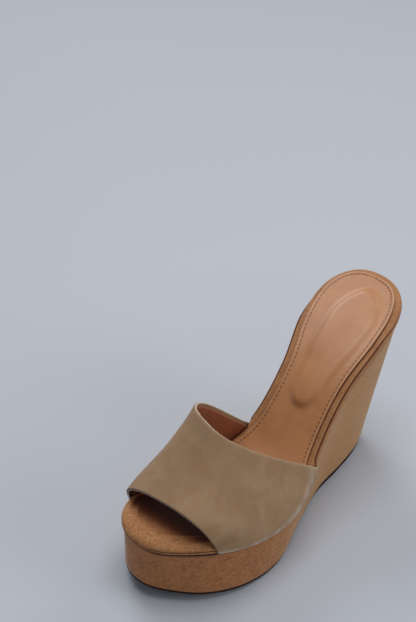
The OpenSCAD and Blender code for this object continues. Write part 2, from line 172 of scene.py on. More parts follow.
def outline(outer, inner, start, length, steps=SIDE_STEPS):
    """Loop: outer side toe to heel, then inner side heel to toe."""
    a = TIP_ANGLE + (180 - 2 * TIP_ANGLE) * np.arange(steps + 1) / steps
    s = start + length * (1 - cosd(a)) / 2
    return np.r_[np.stack([along(outer, a / 180), s], 1),
                 np.stack([along(inner, a / 180), s], 1)[::-1]]


def grown(loop, d):
    """The loop moved outwards by d, a number or one value per point."""
    v = np.roll(loop, -1, 0) - np.roll(loop, 1, 0)
    u = v / np.linalg.norm(v, axis=1)[:, None]
    return loop + np.stack([u[:, 1], -u[:, 0]], 1) * np.reshape(d, (-1, 1))


BED_LOOP = outline(BED_OUTER, BED_INNER, 0, BED_LENGTH)
SOLE_LOOP = outline(SOLE_OUTER, SOLE_INNER, SOLE_FRONT_Y, SOLE_BACK_Y - SOLE_FRONT_Y)
COUNT = len(BED_LOOP)
STATION = BED_LOOP[:, 1] / BED_LENGTH
OUTER_SIDE = np.arange(COUNT) < COUNT // 2
# 1 along the sides behind the vamp's rear corners, 0 ahead of them and round the heel.
BEHIND = smooth(BED_LOOP[:, 1] - np.where(OUTER_SIDE, 0, 5), 113, 121) * (
    1 - smooth(BED_LOOP[:, 1], 196, 232))
# 1 on the inner side, 0 on the outer side, blended round the back.
INWARD = np.where(OUTER_SIDE, 0, 1) + np.where(OUTER_SIDE, 0.5, -0.5) * smooth(
    BED_LOOP[:, 1], 232, 250)
SEAM = SEAM_LOW + SEAM_RISE * BEHIND
SOCK_EDGE = SOCK_INSET - SOCK_DRAW * smooth(BED_LOOP[:, 1], 150, 232)


def on_bed(d, h):
    """The footbed's outline moved out by d and up by h."""
    p = grown(BED_LOOP, d)
    return bed_point(p[:, 0], p[:, 1], h)


def wall(inset, k):
    """Side wall loop, k from 0 at the outsole to 1 at the seam."""
    low = grown(SOLE_LOOP, -inset)
    low = np.c_[low, ground(low[:, 1])]
    high = on_bed(-inset, SEAM_LOW)
    foot = sole_height(low[:, 1]) / (high[:, 2] - low[:, 2])
    return low + (high - low) * (foot + (1 - foot) * k)[:, None]


def perimeter(loop):
    """Length round the loop: 0 at the toe, up on the outer side, down on the
    inner side, so that the jump lies at the back of the heel."""
    step = np.linalg.norm(np.diff(loop, axis=0), axis=1)
    half = COUNT // 2
    outer = np.r_[0, np.cumsum(step[:half - 1])]
    inner = np.r_[0, np.cumsum(step[half:][::-1])]
    return np.r_[outer, -inner[::-1]]


# The frame's own place gives the offset from the formulas to the row frame.
_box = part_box("wedge_cover")
_rows = np.concatenate([wall(0, k) for k in (0, 0.33, 0.67, 1)])
SHIFT = np.array([(_rows[:, i].min() + _rows[:, i].max()) / 2
                  - 500 * (_box[0][i] + _box[1][i]) for i in (0, 1)] + [0.0])


# -------------------------------------------------------------- mesh helpers
class Mesh:
    """Gathers points in millimetres, faces, a map in millimetres and a mark per point for rubbing
    and painted shading.
    """

    def __init__(self):
        self.points, self.uvs, self.wear_and_shading, self.faces = [], [], [], []
        self.size = 0

    def add(self, points, uv=None, wear_and_shading=0.0):
        """Takes in points and returns their numbers."""
        points = np.asarray(points, float).reshape(-1, 3)
        n = len(points)
        self.points.append(points)
        self.uvs.append(np.zeros((n, 2)) if uv is None else np.asarray(uv, float).reshape(-1, 2))
        self.wear_and_shading.append(np.broadcast_to(np.asarray(wear_and_shading, float).ravel(), (n,)))
        self.size += n
        return np.arange(self.size - n, self.size)

    def quads(self, grid, close=False):
        """Faces over a grid of point numbers, closed across its columns."""
        right = np.roll(grid, -1, 1) if close else grid[:, 1:]
        left = grid if close else grid[:, :-1]
        self.faces += np.stack([left[:-1], right[:-1], right[1:], left[1:]],
                               -1).reshape(-1, 4).tolist()

    def build(self, name, material, around=0.0):
        """Makes the object. around is the jump in the map's first value where
        a loop closes."""
        points = (np.concatenate(self.points) - SHIFT) / 1000
        data = bpy.data.meshes.new(name)
        data.from_pydata(points.tolist(), [], self.faces)
        layer = data.uv_layers.new(name="map")
        index = np.empty(len(data.loops), int)
        data.loops.foreach_get("vertex_index", index)
        uv = np.concatenate(self.uvs)[index]
        if around:
            start = np.empty(len(data.polygons), int)
            data.polygons.foreach_get("loop_start", start)
            total = np.empty(len(data.polygons), int)
            data.polygons.foreach_get("loop_total", total)
            top = np.maximum.reduceat(uv[:, 0], start)
            high = np.repeat(top, total)
            uv[:, 0] += np.where(high - uv[:, 0] > around / 2, around, 0)
        layer.data.foreach_set("uv", uv.ravel())
        mark = data.attributes.new("wear_and_shading", "FLOAT", "POINT")
        mark.data.foreach_set("value", np.concatenate(self.wear_and_shading))
        data.validate()
        obj = bpy.data.objects.new(name, data)
        bpy.context.scene.collection.objects.link(obj)
        data.materials.append(material)
        edit(obj, lambda bm: bmesh.ops.recalc_face_normals(bm, faces=bm.faces))
        data.shade_smooth()
        return obj


def edit(obj, action):
    """Runs action on the object's mesh."""
    bm = bmesh.new()
    bm.from_mesh(obj.data)
    action(bm)
    bm.to_mesh(obj.data)
    bm.free()


def cut(obj, point, normal):
    """Keeps what lies behind the plane and closes the cut."""
    def action(bm):
        where = (Vector(point) - Vector(SHIFT)) / 1000
        made = bmesh.ops.bisect_plane(
            bm, geom=bm.verts[:] + bm.edges[:] + bm.faces[:],
            plane_co=where, plane_no=Vector(normal), clear_outer=True)
        edges = [e for e in made["geom_cut"] if isinstance(e, bmesh.types.BMEdge)]
        bmesh.ops.holes_fill(bm, edges=edges, sides=0)
    edit(obj, action)


def across(mesh, ring, columns, place):
    """Closes a ring with rows from its outer side to its inner side. place
    gives points, map and, if wanted, wear for values of x, s in the rows."""
    half = COUNT // 2
    outer, inner = ring["loop"][:half], ring["loop"][half:][::-1]
    k = np.linspace(0, 1, columns + 1)[1:-1]
    flat = outer[:, None, :] + (inner - outer)[:, None, :] * k[None, :, None]
    ids = mesh.add(*place(flat[..., 0], flat[..., 1])).reshape(half, columns - 1)
    first = ring["ids"][:half, None]
    last = ring["ids"][half:][::-1][:, None]
    mesh.quads(np.concatenate([first, ids, last], 1))


# ---------------------------------------------------------------- materials
class Nodes:
    """Short names for building a material's nodes."""

    def __init__(self, name):
        self.material = bpy.data.materials.new(name)
        self.material.use_nodes = True
        self.tree = self.material.node_tree
        self.shader = self.tree.nodes["Principled BSDF"]

    def put(self, socket, value):
        """Sets a socket to a value, or links it to another socket."""
        if isinstance(value, bpy.types.NodeSocket):
            self.tree.links.new(value, socket)
        elif isinstance(value, (tuple, list)) and len(value) == 3 and socket.type == "RGBA":
            socket.default_value = (*value, 1)
        else:
            socket.default_value = value

    def node(self, kind, values=(), **props):
        n = self.tree.nodes.new("ShaderNode" + kind)
        for key, value in props.items():
            setattr(n, key, value)
        for key, value in dict(values).items():
            self.put(n.inputs[key], value)
        return n

    def math(self, operation, a, b=0.0, clamp=False):
        return self.node("Math", {0: a, 1: b}, operation=operation, use_clamp=clamp).outputs[0]

    def remap(self, value, low, high, to_low=0.0, to_high=1.0):
        return self.node("MapRange", {"Value": value, "From Min": low, "From Max": high,
                                      "To Min": to_low, "To Max": to_high}).outputs["Result"]

    def mix(self, factor, a, b):
        n = self.node("Mix", {"Factor": factor}, data_type="RGBA")
        self.put(n.inputs[6], a)
        self.put(n.inputs[7], b)
        return n.outputs[2]

    def noise(self, vector, scale, detail=3.0, rough=0.55, distortion=0.0):
        return self.node("TexNoise", {"Vector": vector, "Scale": scale, "Detail": detail,
                                      "Roughness": rough, "Distortion": distortion}
                         ).outputs["Fac"]

    def turned(self, vector, angle, scale):
        """The map turned and stretched, for marks that run one way."""
        return self.node("Mapping", {"Vector": vector, "Rotation": (0, 0, math.radians(angle)),
                                     "Scale": scale}, vector_type="TEXTURE").outputs[0]

    def place(self):
        """Position on the object in millimetres."""
        where = self.node("TexCoord").outputs["Object"]
        return self.node("VectorMath", {0: where, 3: 1000.0}, operation="SCALE").outputs[0]

    def flat(self):
        """The piece's map in millimetres."""
        return self.node("UVMap", uv_map="map").outputs[0]

    def wear_and_shading(self):
        """The mark stored at each point: rubbing and painted shading."""
        return self.node("Attribute", attribute_name="wear_and_shading").outputs["Fac"]

    def bump(self, height, strength, distance):
        return self.node("Bump", {"Height": height, "Strength": strength,
                                  "Distance": distance / 1000}).outputs[0]

    def finish(self, **values):
        """Sets the shader's sockets, named with _ for a space."""
        for key, value in values.items():
            self.put(self.shader.inputs[key.replace("_", " ")], value)
        return self.material


def fibre_cloth(name, dark, base, light, pale, stretch, sheen, even):
    """Tan cover with fine fibres that cross each other."""
    n = Nodes(name)
    flat, place = n.flat(), n.place()
    total = None
    for angle, length, weight in ((33, 6.0, 0.38), (-38, 5.0, 0.34), (80, 4.5, 0.28)):
        line = n.noise(n.turned(flat, angle, (length * stretch, 0.75, 1.0)), 1.0, 2.0, 0.6, 0.5)
        part = n.math("MULTIPLY", line, weight)
        total = part if total is None else n.math("ADD", total, part)
    grain = n.noise(place, 0.8, 3.0, 0.7)
    cloud = n.noise(place, 0.09, 3.0, 0.6)
    fibres = n.remap(total, 0.43, 0.57)
    colour = n.mix(fibres, dark, light)
    colour = n.mix(even, colour, base)
    # Towards the heel the cloth is paler and less red: painted light, brightening the wedge's
    # wall as side light and sheen would.
    back = n.remap(n.node("SeparateXYZ", {0: place}).outputs["Y"], -70, 40, 0.0, 0.55)
    colour = n.mix(back, colour, pale)
    colour = n.mix(n.remap(grain, 0.42, 0.64, 0.0, 0.42), colour, dark)
    colour = n.mix(n.remap(cloud, 0.35, 0.65, 0.0, 0.25), colour, light)
    # Painted shade turns it first red-brown, then nearly black: in grooves and folds, under the
    # rim and inside the vamp.
    colour = n.mix(n.remap(n.wear_and_shading(), 0.0, 0.6, 0.0, 0.95), colour, (0.17, 0.042, 0.014))
    colour = n.mix(n.remap(n.wear_and_shading(), 0.35, 1.0, 0.0, 0.97), colour, (0.034, 0.008, 0.003))
    height = n.math("ADD", total, n.math("MULTIPLY", grain, 0.3))
    normal = n.bump(height, 0.7, 0.4)
    return n.finish(Base_Color=colour, Roughness=0.62, Normal=normal, Specular_IOR_Level=0.2,
                    Sheen_Weight=sheen, Sheen_Roughness=0.5, Sheen_Tint=(0.98, 0.96, 0.88))


def suede(name, dark, base, light):
    """Napped suede with soft patches; marks above 0 are rubbed pale, below 0 painted shade."""
    n = Nodes(name)
    flat, place = n.flat(), n.place()
    nap = n.noise(flat, 2.6, 3.0, 0.7)
    brushed = n.noise(n.turned(flat, 62, (6.0, 0.9, 1.0)), 1.0, 3.0, 0.6, 0.4)
    patches = n.noise(place, 0.055, 3.0, 0.55, 0.8)
    blotch = n.noise(place, 0.16, 2.0, 0.5, 0.5)
    colour = n.mix(n.remap(patches, 0.36, 0.64), dark, light)
    colour = n.mix(0.6, colour, base)
    colour = n.mix(n.remap(brushed, 0.35, 0.7, 0.0, 0.25), colour, light)
    colour = n.mix(n.remap(nap, 0.40, 0.72, 0.0, 0.50), colour, dark)
    colour = n.mix(n.remap(blotch, 0.50, 0.72, 0.0, 0.35), colour, (0.36, 0.185, 0.085))
    rubbed = n.math("MULTIPLY", n.wear_and_shading(), n.remap(n.noise(place, 0.10, 3.0, 0.6), 0.36, 0.62,
                                                  0.15, 0.75), clamp=True)
    colour = n.mix(rubbed, colour, (0.56, 0.47, 0.39))
    # Below 0: painted shade, used on the underside of the mouth's turned edge.
    colour = n.mix(n.math("MULTIPLY", n.wear_and_shading(), -0.9, clamp=True), colour, (0.09, 0.045, 0.02))
    height = n.math("ADD", nap, n.math("MULTIPLY", brushed, 0.6))
    normal = n.bump(height, 0.5, 0.18)
    return n.finish(Base_Color=colour, Roughness=0.92, Normal=normal, Specular_IOR_Level=0.2,
                    Sheen_Weight=0.18, Sheen_Roughness=0.4, Sheen_Tint=(0.88, 0.84, 0.78))


def leather(name, dark, base, light, roughness, coat=0.0, holes=False):
    """Smooth leather; marks above 0 darken it and below 0 pale it, for cut edges and painted
    shade and highlight; holes are needle holes.
    """
    n = Nodes(name)
    place = n.place()
    pores = n.node("TexVoronoi", {"Vector": place, "Scale": 1.6, "Randomness": 1.0},
                   feature="DISTANCE_TO_EDGE").outputs["Distance"]
    fine = n.noise(place, 1.2, 4.0, 0.6)
    cloud = n.noise(place, 0.045, 4.0, 0.6, 0.6)
    colour = n.mix(n.remap(cloud, 0.34, 0.66), dark, light)
    colour = n.mix(0.55, colour, base)
    colour = n.mix(n.remap(fine, 0.4, 0.8, 0.0, 0.14), colour, dark)
    edge = n.wear_and_shading()
    colour = n.mix(n.math("MULTIPLY", edge, 1.0, clamp=True), colour, (0.075, 0.030, 0.014))
    colour = n.mix(n.math("MULTIPLY", edge, -1.0, clamp=True), colour, (0.66, 0.40, 0.24))
    height = n.math("ADD", n.math("MULTIPLY", n.remap(pores, 0.0, 0.12), 0.5), fine)
    if holes:
        flat = n.node("SeparateXYZ", {0: n.flat()})
        turn = n.math("FRACT", n.math("DIVIDE", flat.outputs["X"], STITCH_PITCH))
        away = n.math("MULTIPLY", n.math("ABSOLUTE", n.math("SUBTRACT", turn, 0.5)), STITCH_PITCH)
        near = n.math("POWER", n.math("ADD", n.math("POWER", away, 2.0), n.math(
            "POWER", n.math("SUBTRACT", flat.outputs["Y"], STITCH_INSET), 2.0)), 0.5)
        pit = n.remap(near, 0.40, 0.66, 1.0, 0.0)
        # Painted shade in the needle holes, which are otherwise only a dip in the bump.
        colour = n.mix(n.math("MULTIPLY", pit, 0.95), colour, (0.06, 0.020, 0.009))
        height = n.math("SUBTRACT", height, n.math("MULTIPLY", pit, 3.0))
    normal = n.bump(height, 0.25, 0.12)
    return n.finish(Base_Color=colour, Roughness=n.remap(fine, 0.3, 0.7, roughness - 0.05,
                    roughness + 0.08), Normal=normal, Specular_IOR_Level=0.5,
                    Coat_Weight=coat, Coat_Roughness=0.40)


def plain(name, dark, light, scale, roughness, metal=0.0, gloss=0.4):
    """Grained finish between two colours."""
    n = Nodes(name)
    grain = n.noise(n.place(), scale, 4.0, 0.6)
    colour = n.mix(n.remap(grain, 0.3, 0.7), dark, light)
    normal = n.bump(grain, 0.4, 0.1)
    return n.finish(Base_Color=colour, Roughness=n.remap(grain, 0.3, 0.7, roughness - 0.08,
                    roughness + 0.06), Metallic=metal, Normal=normal, Specular_IOR_Level=gloss)


COVER = fibre_cloth("cover_cloth", (0.21, 0.062, 0.016), (0.37, 0.126, 0.032),
                    (0.57, 0.25, 0.080), (0.56, 0.33, 0.10), 1.0, 0.20, 0.34)
WRAP = fibre_cloth("wrap_cloth", (0.20, 0.072, 0.021), (0.38, 0.162, 0.058),
                   (0.56, 0.29, 0.125), (0.38, 0.172, 0.078), 1.2, 0.05, 0.50)
SUEDE = suede("sand_suede", (0.245, 0.142, 0.072), (0.315, 0.196, 0.108), (0.40, 0.275, 0.175))
SOCK = leather("sock_leather", (0.36, 0.132, 0.036), (0.435, 0.170, 0.050), (0.53, 0.230, 0.078),
               0.46, 0.7, holes=True)
LINING = leather("lining_leather", (0.24, 0.070, 0.028), (0.30, 0.092, 0.038),
                 (0.36, 0.125, 0.055), 0.5)
THREAD = plain("sewing_thread", (0.40, 0.19, 0.085), (0.52, 0.27, 0.13), 3.0, 0.55)
SOLE = plain("dark_sole", (0.018, 0.006, 0.004), (0.040, 0.014, 0.009), 1.5, 0.75, gloss=0.15)
TOP_PIECE = plain("dark_rubber", (0.014, 0.006, 0.004), (0.030, 0.012, 0.008), 1.2, 0.75,
                  gloss=0.15)


# ------------------------------------------------------------------- pieces
def ride(obj, slot, *nodes):
    """Puts a piece on the one body, in place of the CAD nodes it shows."""
    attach(obj, "root")
    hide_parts(*nodes)


def wedge_cover():
    """Cloth round platform and wedge, turned in at the top and the bottom."""
    # Each ring: points, place up the cloth and how much painted shade it gets.
    rings = []
    foot, full = wall(0, 0), wall(0, 1)
    height = np.linalg.norm(full - foot, axis=1)
    raised = SEAM - SEAM_LOW
    for inset, lift in ((COVER_TURN, 0.0), (1.2, 0.0), (0.35, 0.03), (0.08, 0.3)):
        base = wall(inset, 0)
        base[:, 2] += lift
        rings.append((base, np.full(COUNT, lift - inset), 0.0))
    soft = np.clip(FOLD / height, 0, 0.5)
    for k in (*np.linspace(0, 1, 44)[1:-1], 0.985, 0.995):
        share = soft + (1 - 2 * soft) * k
        # Painted shade in bands along the top, under the rim's overhang, and along the bottom,
        # where the cover meets the sole.
        dark = (2 - smooth(height * (1 - share) + raised, 0.6, 1.8)
                - smooth(height * share, 0.4, 1.2))
        rings.append((foot + (full - foot) * share[:, None], height * share, dark))
    # From here the cover follows the footbed up to its seam. It gets painted shade under the rim:
    # full ahead of the vamp's rear corners and round the heel, and growing towards the seam along
    # the sides behind the vamp.
    for k in (0.25, 0.5, 0.75):
        rings.append((on_bed(0, SEAM_LOW + (raised - FOLD) * k), height + raised * k,
                      1 - smooth(raised * (1 - k), 0.6, 1.8) * BEHIND))
    # The top fold and the turned-in margin are painted fully dark as shade.
    for d, drop in ((-0.04, 0.55), (-0.14, 0.28), (-0.38, 0.08), (-FOLD, 0.0)):
        rings.append((on_bed(d, SEAM - drop), height + raised - drop - d, 1.0))
    # The turned-in margin is short behind the vamp, where the rim's foot follows it.
    turn = -COVER_TURN + 2.7 * BEHIND
    for d, h in ((turn, SEAM), (turn, SEAM_LOW - 1), (-COVER_INSIDE, SEAM_LOW - 1)):
        rings.append((on_bed(d, h), height + raised + COVER_TURN, 1.0))
    for k in (0.66, 0.33, 0.08):
        rings.append((wall(COVER_INSIDE, k), height * k, 0.0))
    base = wall(COVER_TURN, 0)
    base[:, 2] += COVER_FOOT
    rings.append((base, np.zeros(COUNT), 0.0))
    mesh = Mesh()
    u = perimeter(np.c_[SOLE_LOOP, ground(SOLE_LOOP[:, 1])]) * 0.5 + perimeter(BED_LOOP) * 0.5
    ids = [mesh.add(points, np.stack([u, v], 1), dark) for points, v, dark in rings]
    mesh.quads(np.array(ids + [ids[0]]), close=True)
    around = u.max() - u.min()
    ride(mesh.build("wedge_cover_cloth", COVER, around), "cover_fabric", "wedge_cover")


def tuck():
    """1 where the vamp clasps the insole, else 0, for each point of the loop."""
    end = VAMP_REAR + np.where(OUTER_SIDE, 0.0, INNER_SHIFT)
    fade = 0.012
    return (smooth(STATION, VAMP_FRONT, VAMP_FRONT + fade)
            * (1 - smooth(STATION, end - fade, end)))


# Sections of the rim as (distance out from the footbed's outline, height):
# round the heel and beside the vamp, at the toe, and along the sides behind
# the vamp, where the rim is flatter on top.
RIM_PROFILE = ((0.35, 1.75), (0.8, 2.0), (1.05, 2.8), (1.1, 3.7), (0.95, 4.5), (0.5, 5.3),
               (-0.5, 5.95), (-1.8, 6.25), (-3.2, 6.3))
TOE_PROFILE = ((0.2, 1.75), (0.7, 1.9), (1.1, 2.4), (1.2, 3.2), (0.8, 4.1), (0.0, 4.9),
               (-1.3, 5.7), (-3.1, 6.2), (-5.2, 6.4))
REAR_PROFILE = ((-0.35, 5.3), (-0.4, 5.75), (-0.6, 6.1), (-1.0, 6.25), (-1.6, 6.3),
                (-2.3, 6.3), (-3.0, 6.3))
# The bead under the rim: middle and half size, in front and behind.
BEAD, REAR_BEAD = (0.45, 0.85, 0.80, 0.75), (0.2, 3.6, 1.05, 1.85)
INNER_OUT = 0.8        # the inner side's rim stands this much further out
RIM_STEPS = 22


def toe_share(s):
    """1 over the toe bed, 0 further back."""
    return 1 - smooth(s, 22, 50)


def inside_shade(s):
    """Painted shadow of the vamp: the cloth darkens towards the inside of the vamp."""
    return 0.97 * smooth(s, 5, 25)


def insole_wrap():
    """Padded insole: bead under the rim, rounded rim, bed on top."""
    mesh = Mesh()
    pulled = tuck() * RIM_PULL
    toe = toe_share(BED_LOOP[:, 1])

    def blend(front, rear):
        return front + (rear - front) * BEHIND

    # Behind the vamp nothing is turned in under the rim, so its foot meets the cover.
    closed = smooth(BED_LOOP[:, 1], 122, 132)
    # Each ring: distance out, height and painted shade. The shade is dark under and over the bead
    # and fades up from the rim's foot.
    rings = [(-6.0, WRAP_BOTTOM, 1.0),
             (blend(-1.2, -1.9), WRAP_BOTTOM - 1.05 * closed, 1.0),
             (blend(-0.6, -1.5), blend(WRAP_BOTTOM, 1.85), 1.0)]
    for a in np.linspace(-80, 75, 9):
        d, h = (blend(BEAD[k], REAR_BEAD[k]) + blend(BEAD[k + 2], REAR_BEAD[k + 2]) * turn
                for k, turn in ((0, cosd(a)), (1, sind(a))))
        rings.append((d, h, 1 - smooth(a, -75, -25) + 0.7 * smooth(a, 50, 75)))
    profiles = [curve(p, RIM_STEPS) for p in (RIM_PROFILE, TOE_PROFILE, REAR_PROFILE)]
    for k, (r, t, q) in enumerate(zip(*profiles)):
        d, h = (blend(r[i] + (t[i] - r[i]) * toe, q[i]) for i in (0, 1))
        rings.append((d, h, 0.8 - 0.4 * min(k, 2)))
    for d, h in ((-3.6, 6.3), (-3.9, 6.28), (-4.2, 6.26), (-4.6, 6.24), (-BED_START, BED_TOP)):
        rings.append((d - TOE_BED_START * toe, h + (6.6 - 0.05 * d - h) * toe, 0.0))
    ids, length, last, flats = [], 0.0, None, []
    for d, h, dark in rings:
        d = d - pulled + INNER_OUT * INWARD * BEHIND * np.clip((d + 3.2) / 2.4, 0, 1)
        points = on_bed(d, h)
        if last is not None:
            length = length + np.linalg.norm(points - last, axis=1)
        last = points
        flats.append((points, length, d, dark))
    whole = flats[-1][1]
    for points, length, d, dark in flats:
        uv = grown(BED_LOOP, whole - length - BED_START - TOE_BED_START * toe)
        # Painted shadow of the vamp on the toe bed under the strap.
        inner = inside_shade(BED_LOOP[:, 1]) * toe * smooth(-d - pulled, 1.5, 4.5)
        # Painted shade: a dark line on the wrap along the sock's edge, along the sides behind the
        # vamp.
        line = 0.8 * np.exp(-((d + SOCK_EDGE) / 0.5) ** 2) * BEHIND
        ids.append(mesh.add(points, uv, np.maximum.reduce([dark + 0 * d, inner, line])))
    mesh.quads(np.array(ids), close=True)
    end = {"loop": grown(BED_LOOP, flats[-1][2]), "ids": ids[-1]}

    def top(x, s):
        t = toe_share(s)
        # The bed top gets the vamp's painted shadow as well.
        return bed_point(x, s, BED_TOP + TOE_BED_UP * t), np.stack([x, s], -1), inside_shade(s)
    across(mesh, end, 40, top)
    start = {"loop": grown(BED_LOOP, flats[0][2]), "ids": ids[0]}
    across(mesh, start, 2, lambda x, s: (bed_point(x, s, WRAP_BOTTOM), np.stack([x, s], -1)))
    obj = mesh.build("insole_rim_and_bed", WRAP)
    ride(obj, "wrap_fabric", "insole_wrap")


CUSHION_FRONT, CUSHION_BACK, CUSHION_HEIGHT = 144.0, 236.0, 2.7
CUSHION_OUTER = (11, 20, 23.5, 27.5, 28, 20, 9)
CUSHION_INNER = (11, 1.5, -1, -4.5, -6, 0, 9)
BED_CUP = 0.9          # the bed's margins stand this much higher behind


def cushion_height(x, s):
    """Height of the heel cushion under the sock: a flat crown with a rolled edge."""
    edge = outline(CUSHION_OUTER, CUSHION_INNER, CUSHION_FRONT,
                   CUSHION_BACK - CUSHION_FRONT, 60)
    p = np.stack([x, s], -1).reshape(-1, 2)
    near = np.full(len(p), 1e9)
    inside = np.zeros(len(p), bool)
    for (ax, ay), (bx, by) in zip(edge, np.roll(edge, -1, 0)):
        d = np.array([bx - ax, by - ay])
        k = np.clip(((p[:, 0] - ax) * d[0] + (p[:, 1] - ay) * d[1]) / (d @ d), 0, 1)
        near = np.minimum(near, np.hypot(p[:, 0] - ax - k * d[0], p[:, 1] - ay - k * d[1]))
        cross = (ay > p[:, 1]) != (by > p[:, 1])
        with np.errstate(divide="ignore", invalid="ignore"):
            inside ^= cross & (p[:, 0] < (bx - ax) * (p[:, 1] - ay) / (by - ay) + ax)
    depth = np.where(inside, near, -near)
    # The round front end stands a little steeper and higher than the long sides.
    front = 1 - smooth(p[:, 1], 152, 178)
    roll = smooth(depth / (1 - 0.3 * front), -1.2, 6.0)
    crown = 0.86 + 0.14 * smooth(depth, 3, 14)
    return ((CUSHION_HEIGHT + 0.5 * front) * roll * crown).reshape(np.shape(x))


def bed_cup(x, s):
    """The rear of the bed is slightly cupped: its margins stand a little higher."""
    t = np.clip(s / BED_LENGTH, 0, 1)
    a = np.degrees(np.arccos(1 - 2 * t)) / 180
    outer, inner = along(BED_OUTER, a), along(BED_INNER, a)
    middle, half = (outer + inner) / 2, np.maximum((outer - inner) / 2, 1)
    return BED_CUP * np.clip(np.abs(x - middle) / half, 0, 1) ** 2 * smooth(s, 120, 180)


def sock_lining():
    """Leather sock with a cut edge, a sewn channel and the heel cushion's shape raised in it."""
    mesh = Mesh()
    end_of_rings = 5.6
    # Distance inwards from the sock's edge and height, over the cut edge first.
    profile = [(0.0, -1.2), (0.0, -0.45), (-0.06, -0.2), (-0.2, -0.05), (-0.5, 0.0),
               (-1.0, 0.0), (-1.4, -0.02)]
    for k in np.linspace(-1, 1, 9):
        profile.append((-CHANNEL - 0.5 * k, -0.16 * (1 - k * k)))
    profile += [(-2.9, 0.0), (-3.5, 0.02), (-4.4, 0.04), (-end_of_rings, 0.05)]
    u = perimeter(grown(BED_LOOP, SOCK_INSET - SOCK_EDGE - STITCH_INSET))
    ids = []
    for d, h in profile:
        flat = grown(BED_LOOP, d - SOCK_EDGE)
        lift = 0.0
        if d < -2.9:
            lift = cushion_height(flat[:, 0], flat[:, 1])
        base = bed_cup(flat[:, 0], flat[:, 1])
        points = bed_point(flat[:, 0], flat[:, 1], SOCK_TOP + h + lift + base * (h > -1))
        # The cut edge is dark: its inked edge and painted shade in the gap beside it. The lip
        # just inside is paler: burnish and a painted highlight.
        edge = 0.95 if h < -0.3 and d > -0.1 else (-0.2 if -0.9 < d < -0.1 else 0.0)
        ids.append(mesh.add(points, np.stack([u, np.full(COUNT, SOCK_INSET - d)], 1), edge))
    mesh.quads(np.array(ids), close=True)
    end = {"loop": grown(BED_LOOP, -SOCK_EDGE - end_of_rings), "ids": ids[-1]}

    def top(x, s):
        lift = cushion_height(x, s) + bed_cup(x, s)
        # The map keeps this part well away from the row of needle holes.
        return bed_point(x, s, SOCK_TOP + 0.05 + lift), np.stack([x, s * 0 + 60.0], -1)
    across(mesh, end, 56, top)
    obj = mesh.build("sock_leather_sheet", SOCK, u.max() - u.min())
    p = bed_point(0, SOCK_FRONT, SOCK_TOP)
    slope = float(along(BED_SLOPE, SOCK_FRONT / BED_LENGTH))
    edit(obj, lambda bm: bmesh.ops.bisect_plane(
        bm, geom=bm.verts[:] + bm.edges[:] + bm.faces[:],
        plane_co=(Vector(p) - Vector(SHIFT)) / 1000,
        plane_no=Vector((0, -cosd(slope), -sind(slope))), clear_outer=True))
    solid = obj.modifiers.new("thickness", "SOLIDIFY")
    solid.thickness = SOCK_THICK / 1000
    solid.offset = -1
    apply_modifiers(obj)
    ride(obj, "sock_leather", "sock_lining", "heel_cushion")


def apply_modifiers(obj):
    """Bakes the modifiers into the object's mesh."""
    graph = bpy.context.evaluated_depsgraph_get()
    data = bpy.data.meshes.new_from_object(obj.evaluated_get(graph))
    obj.modifiers.clear()
    old = obj.data
    obj.data = data
    bpy.data.meshes.remove(old)


def stitching():
    """Single stitches in the sewn channel, sunk at both ends."""
    loop = grown(BED_LOOP, SOCK_INSET - SOCK_EDGE - STITCH_INSET)
    u = perimeter(loop)
    half = COUNT // 2
    mesh = Mesh()
    sides = 7
    for part in (slice(0, half), slice(half, COUNT)):
        run, flat = u[part], loop[part]
        order = np.argsort(run)
        run, flat = run[order], flat[order]
        first = math.ceil(run[0] / STITCH_PITCH)
        for k in range(first, math.floor(run[-1] / STITCH_PITCH)):
            # Needle holes lie at half pitches, stitches run between them.
            t = np.linspace(-STITCH_HALF, STITCH_HALF, 9)
            at = (k + 1 + t) * STITCH_PITCH
            if at[0] < run[0] or at[-1] > run[-1]:
                continue
            x, s = (np.interp(at, run, flat[:, i]) for i in (0, 1))
            if s.min() < SOCK_FRONT + 4:
                continue
            bow = 1 - (t / STITCH_HALF) ** 4
            h = SOCK_TOP - STITCH_SUNK + STITCH_BOW * bow + bed_cup(x, s)
            line = bed_point(x, s, h)
            d = np.gradient(line, axis=0)
            d /= np.linalg.norm(d, axis=1)[:, None]
            up = bed_point(x, s, h + 1) - line
            side = np.cross(d, up)
            side /= np.linalg.norm(side, axis=1)[:, None]
            radius = STITCH_RADIUS * (0.55 + 0.45 * bow)
            a = np.linspace(0, 2 * np.pi, sides, endpoint=False)
            tube = (line[:, None] + (side[:, None] * np.cos(a)[None, :, None]
                    + up[:, None] * np.sin(a)[None, :, None]) * radius[:, None, None])
            ids = mesh.add(tube).reshape(len(t), sides)
            mesh.quads(ids, close=True)
            mesh.faces += [ids[0].tolist(), ids[-1][::-1].tolist()]
    ride(mesh.build("sock_stitches", THREAD), "thread", "sock_stitching")


